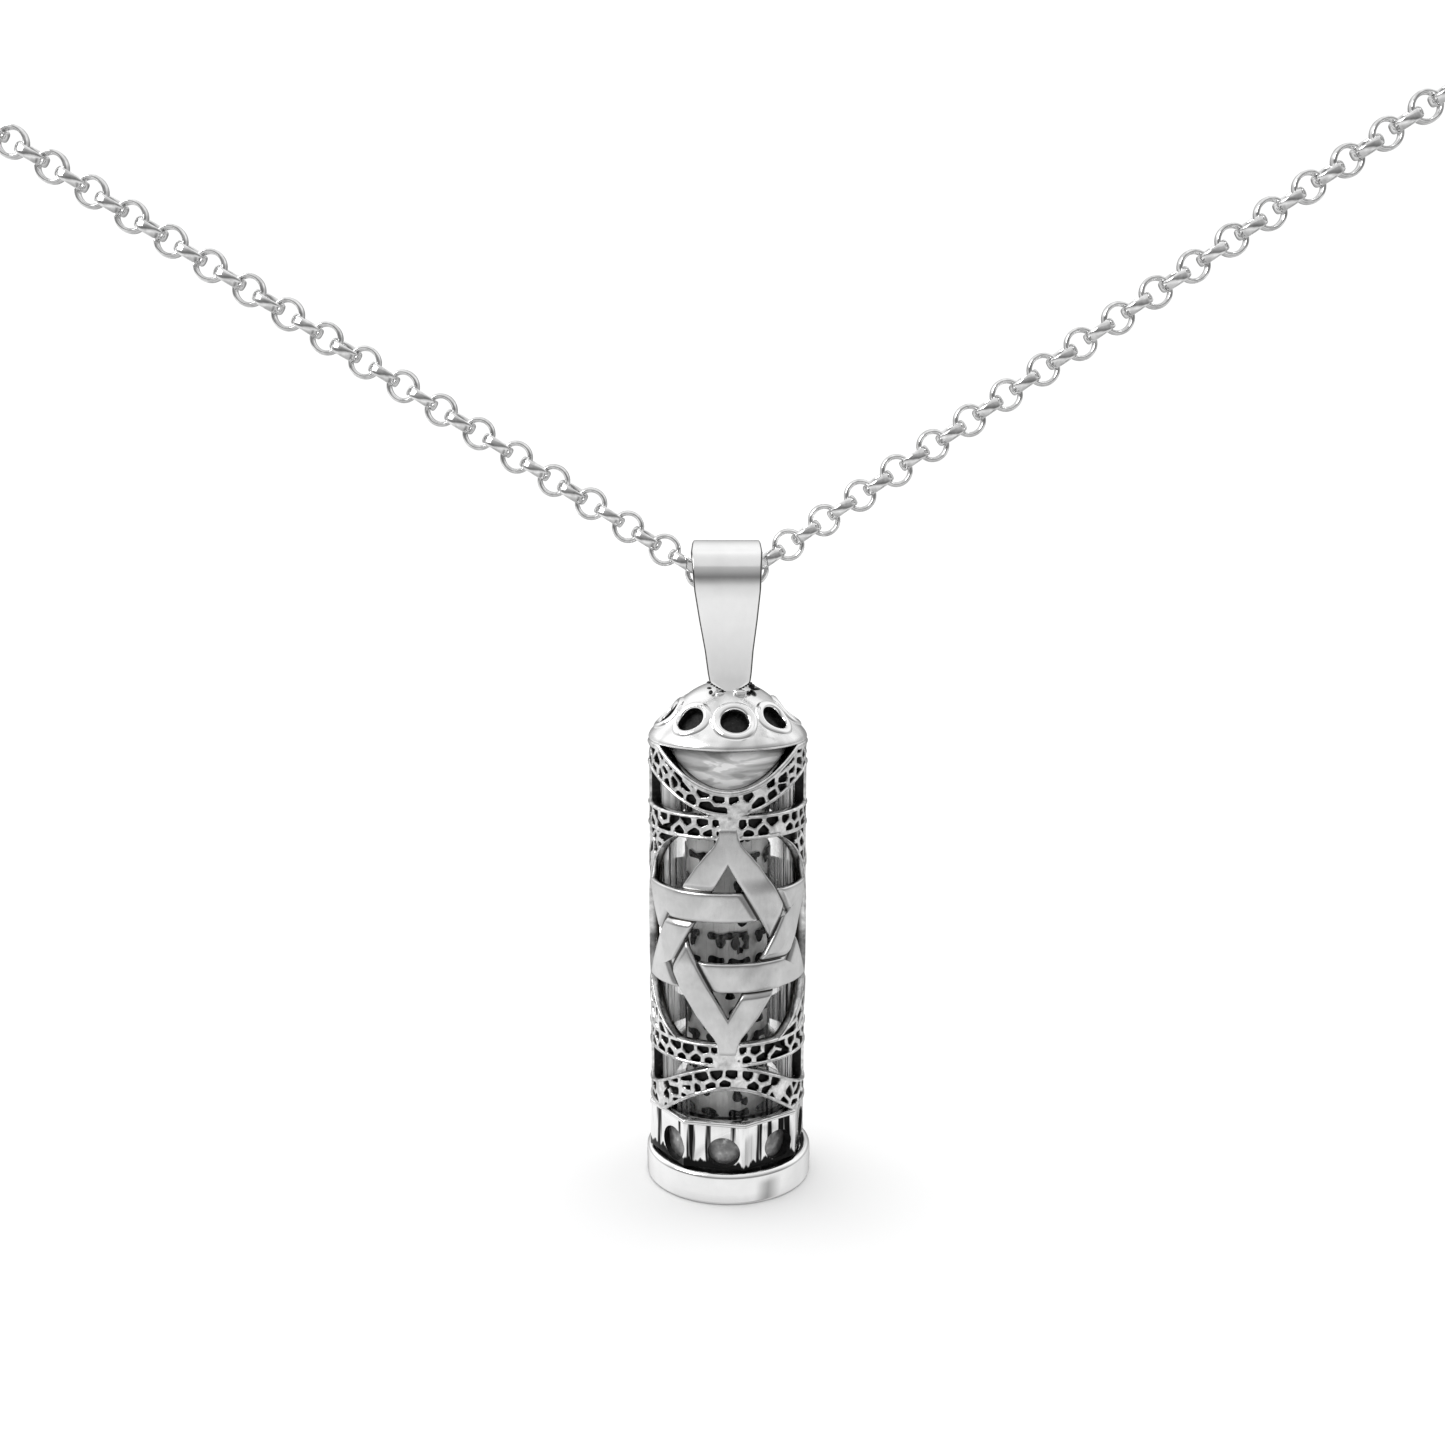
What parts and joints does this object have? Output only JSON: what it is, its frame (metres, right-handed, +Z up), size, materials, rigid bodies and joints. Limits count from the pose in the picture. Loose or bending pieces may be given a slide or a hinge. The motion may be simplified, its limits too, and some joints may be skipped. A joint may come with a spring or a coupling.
{
  "type": "mezuzah case",
  "caption": "Pendant mezuzah case: pierced round silver case with a woven hexagram and a clear vial holding a scroll, on a rolo chain.",
  "frame": {"origin": "swing axis of the bail, where the chain crosses inside its loop", "axes": "+Z up along the case axis, +X to the right along the two chain arms, front towards -Y"},
  "size_m": [0.1083, 0.0106, 0.0758],
  "materials": {
    "silver": "polished silver",
    "strap_silver": "satin polished silver",
    "pitted_silver": "bright silver with blackened pits",
    "blackened": "oxidised silver",
    "chain_silver": "polished silver links",
    "clear": "clear tube",
    "parchment": null
  },
  "bodies": {
    "chain": {"chain_centre_link": "chain_silver", "chain_left_face_links": "chain_silver", "chain_left_edge_links": "chain_silver", "chain_right_face_links": "chain_silver", "chain_right_edge_links": "chain_silver", "jump_ring_left": "chain_silver", "jump_ring_right": "chain_silver", "clasp_body": "silver", "clasp_pin": "silver", "clasp_spring": "blackened", "end_tag": "silver"},
    "clasp": {"clasp_lever": "silver"},
    "case": {"bail": "silver", "bail_solder": "silver", "dome": "silver", "dome_hole_rims": "silver", "swag_front": "pitted_silver", "swag_back": "pitted_silver", "band_upper": "pitted_silver", "band_lower": "pitted_silver", "frame_front": "pitted_silver", "frame_back": "pitted_silver", "side_posts": "blackened", "star_up_front": "strap_silver", "star_down_front": "strap_silver", "star_up_back": "strap_silver", "star_down_back": "strap_silver", "arch_front": "pitted_silver", "arch_back": "pitted_silver", "collar": "silver"},
    "base": {"base_seat": "blackened", "base_cap": "silver"},
    "vial": {"vial": "clear", "scroll": "parchment"}
  },
  "joints": [
    {"name": "pendant_swing", "type": "hinge", "parent": "chain", "child": "case", "pos_m": [0, 0, 0], "axis": [1, 0, 0], "range_deg": [-85, 85]},
    {"name": "base_draw", "type": "slide", "parent": "case", "child": "base", "axis": [0, 0, -1], "range_m": [0, 0.03]},
    {"name": "vial_turn", "type": "hinge", "parent": "base", "child": "vial", "pos_m": [0, 0, -0.025], "axis": [0, 0, 1], "continuous": true},
    {"name": "clasp_open", "type": "hinge", "parent": "chain", "child": "clasp", "pos_m": [-0.05063, 0, 0.02859], "axis": [0, 1, 0], "range_deg": [0, 22], "stiffness_Nm_per_rad": 0.002, "springref_deg": -17.19}
  ]
}
